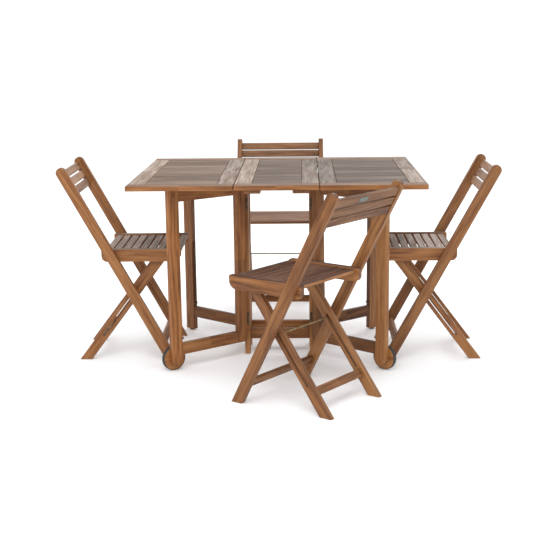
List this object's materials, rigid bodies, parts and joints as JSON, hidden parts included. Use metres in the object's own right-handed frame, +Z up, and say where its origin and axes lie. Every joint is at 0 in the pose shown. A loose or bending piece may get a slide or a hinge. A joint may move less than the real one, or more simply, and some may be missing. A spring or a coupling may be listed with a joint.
{
  "type": "folding patio dining set",
  "caption": "Gateleg patio table with slatted drop leaves held up on wheeled gates, set with folding slatted wooden chairs.",
  "frame": {"origin": "on the floor under the middle of the table, which is the middle of the set's base", "axes": "+X along the table top's longer side, +Y to the back of the table, +Z up"},
  "size_m": [1.716, 1.915, 0.7782],
  "materials": {
    "top_slats": "weathered grey-brown oiled hardwood, streaky grain",
    "top_frame": "weathered hardwood with whitish worn patches",
    "base_wood": "oiled orange-brown hardwood",
    "chair_frames": "oiled orange-brown hardwood",
    "seat_slats": "weathered hardwood",
    "back_slats": "weathered hardwood",
    "cross_rods": "dull yellow-plated steel",
    "bolts": "dull yellow-plated steel",
    "hinges": "dull yellow-plated steel",
    "label": "brushed plate, blank",
    "tyres": "matt black rubber",
    "wheel_discs": "oiled hardwood",
    "glides": "black plastic"
  },
  "bodies": {
    "table_base": {"centre_frame": "top_frame", "centre_slats": "top_slats", "centre_battens": "base_wood", "base_posts": "base_wood", "base_glides": "glides", "base_side_rails": "base_wood", "base_stretchers": "base_wood", "gate_hinge_posts": "hinges", "leaf_hinge_plates": "hinges"},
    "leaf_left": {"leaf_left_frame": "top_frame", "leaf_left_slats": "top_slats", "leaf_left_hinges": "hinges"},
    "leaf_right": {"leaf_right_frame": "top_frame", "leaf_right_slats": "top_slats", "leaf_right_hinges": "hinges"},
    "wheel_left": {"wheel_left_disc": "wheel_discs", "wheel_left_tyre": "tyres"},
    "gate_front_left": {"gate_front_left_frame": "base_wood", "gate_front_left_hardware": "hinges", "wheel_left_axle": "bolts"},
    "wheel_right": {"wheel_right_disc": "wheel_discs", "wheel_right_tyre": "tyres"},
    "gate_front_right": {"gate_front_right_frame": "base_wood", "gate_front_right_hardware": "hinges", "wheel_right_axle": "bolts"},
    "gate_back_left": {"gate_back_left_frame": "base_wood", "gate_back_left_hardware": "hinges", "gate_back_left_foot": "glides"},
    "gate_back_right": {"gate_back_right_frame": "base_wood", "gate_back_right_hardware": "hinges", "gate_back_right_foot": "glides"},
    "chair_front_back": {"chair_front_back_frame": "chair_frames", "chair_front_back_slats": "back_slats", "chair_front_cross_rod": "cross_rods", "chair_front_label": "label"},
    "chair_front_seat": {"chair_front_seat_rails": "chair_frames", "chair_front_seat_slats": "seat_slats", "chair_front_pivot_bolts": "bolts"},
    "chair_front_legs": {"chair_front_leg_frame": "chair_frames"},
    "chair_right_back": {"chair_right_back_frame": "chair_frames", "chair_right_back_slats": "back_slats", "chair_right_cross_rod": "cross_rods"},
    "chair_right_seat": {"chair_right_seat_rails": "chair_frames", "chair_right_seat_slats": "seat_slats", "chair_right_pivot_bolts": "bolts"},
    "chair_right_legs": {"chair_right_leg_frame": "chair_frames"},
    "chair_left_back": {"chair_left_back_frame": "chair_frames", "chair_left_back_slats": "back_slats", "chair_left_cross_rod": "cross_rods"},
    "chair_left_seat": {"chair_left_seat_rails": "chair_frames", "chair_left_seat_slats": "seat_slats", "chair_left_pivot_bolts": "bolts"},
    "chair_left_legs": {"chair_left_leg_frame": "chair_frames"},
    "chair_back_back": {"chair_back_back_frame": "chair_frames", "chair_back_back_slats": "back_slats", "chair_back_cross_rod": "cross_rods"},
    "chair_back_seat": {"chair_back_seat_rails": "chair_frames", "chair_back_seat_slats": "seat_slats", "chair_back_pivot_bolts": "bolts"},
    "chair_back_legs": {"chair_back_leg_frame": "chair_frames"}
  },
  "joints": [
    {"name": "leaf_left_lift", "type": "hinge", "parent": "table_base", "child": "leaf_left", "pos_m": [-0.156, 0, 0.7194], "axis": [0, 1, 0], "range_deg": [0, 6]},
    {"name": "leaf_right_lift", "type": "hinge", "parent": "table_base", "child": "leaf_right", "pos_m": [0.156, 0, 0.7194], "axis": [0, -1, 0], "range_deg": [0, 6]},
    {"name": "gate_front_left_swing", "type": "hinge", "parent": "table_base", "child": "gate_front_left", "pos_m": [-0.1455, -0.0885, 0.384], "axis": [0, 0, 1], "range_deg": [0, 51]},
    {"name": "wheel_left_roll", "type": "hinge", "parent": "gate_front_left", "child": "wheel_left", "pos_m": [-0.40918, -0.2952, 0.0485], "axis": [0.6293, -0.7771, 0], "continuous": true},
    {"name": "gate_front_right_swing", "type": "hinge", "parent": "table_base", "child": "gate_front_right", "pos_m": [0.1455, -0.0885, 0.384], "axis": [0, 0, -1], "range_deg": [0, 34]},
    {"name": "wheel_right_roll", "type": "hinge", "parent": "gate_front_right", "child": "wheel_right", "pos_m": [0.40918, -0.2952, 0.0485], "axis": [-0.6293, -0.7771, 0], "continuous": true},
    {"name": "gate_back_left_swing", "type": "hinge", "parent": "table_base", "child": "gate_back_left", "pos_m": [-0.1455, 0.0885, 0.384], "axis": [0, 0, -1], "range_deg": [0, 51]},
    {"name": "gate_back_right_swing", "type": "hinge", "parent": "table_base", "child": "gate_back_right", "pos_m": [0.1455, 0.0885, 0.384], "axis": [0, 0, 1], "range_deg": [0, 51]},
    {"name": "chair_front_pull_out", "type": "slide", "parent": "table_base", "child": "chair_front_back", "axis": [0.8007, -0.599, 0], "range_m": [0, 0.3]},
    {"name": "chair_front_fold", "type": "hinge", "parent": "chair_front_back", "child": "chair_front_seat", "pos_m": [0.16512, -0.66866, 0.4327], "axis": [0.599, 0.8007, 0], "range_deg": [0, 110]},
    {"name": "chair_front_legs_turn", "type": "hinge", "parent": "chair_front_seat", "child": "chair_front_legs", "pos_m": [0.00947, -0.55221, 0.4165], "axis": [0.599, 0.8007, 0], "range_deg": [-53, 0]},
    {"name": "chair_right_pull_out", "type": "slide", "parent": "table_base", "child": "chair_right_back", "axis": [1, -0.007, 0], "range_m": [0, 0.3]},
    {"name": "chair_right_fold", "type": "hinge", "parent": "chair_right_back", "child": "chair_right_seat", "pos_m": [0.65869, -0.0007, 0.4327], "axis": [0.007, 1, 0], "range_deg": [0, 110]},
    {"name": "chair_right_legs_turn", "type": "hinge", "parent": "chair_right_seat", "child": "chair_right_legs", "pos_m": [0.46431, 0.00065, 0.4165], "axis": [0.007, 1, 0], "range_deg": [-53, 0]},
    {"name": "chair_left_pull_out", "type": "slide", "parent": "table_base", "child": "chair_left_back", "axis": [-0.9999, -0.0157, 0], "range_m": [0, 0.3]},
    {"name": "chair_left_fold", "type": "hinge", "parent": "chair_left_back", "child": "chair_left_seat", "pos_m": [-0.6617, 0.00866, 0.4327], "axis": [0.0157, -0.9999, 0], "range_deg": [0, 110]},
    {"name": "chair_left_legs_turn", "type": "hinge", "parent": "chair_left_seat", "child": "chair_left_legs", "pos_m": [-0.46733, 0.01172, 0.4165], "axis": [0.0157, -0.9999, 0], "range_deg": [-53, 0]},
    {"name": "chair_back_pull_out", "type": "slide", "parent": "table_base", "child": "chair_back_back", "axis": [-0.0017, 1, 0], "range_m": [0, 0.3]},
    {"name": "chair_back_fold", "type": "hinge", "parent": "chair_back_back", "child": "chair_back_seat", "pos_m": [-0.01093, 0.76969, 0.4327], "axis": [-1, -0.0017, 0], "range_deg": [0, 110]},
    {"name": "chair_back_legs_turn", "type": "hinge", "parent": "chair_back_seat", "child": "chair_back_legs", "pos_m": [-0.01059, 0.5753, 0.4165], "axis": [-1, -0.0017, 0], "range_deg": [-53, 0]}
  ],
  "couplings": [
    {"joint": "chair_front_legs_turn", "follows": "chair_front_fold", "ratio": -0.479},
    {"joint": "chair_right_legs_turn", "follows": "chair_right_fold", "ratio": -0.479},
    {"joint": "chair_left_legs_turn", "follows": "chair_left_fold", "ratio": -0.479},
    {"joint": "chair_back_legs_turn", "follows": "chair_back_fold", "ratio": -0.479}
  ]
}
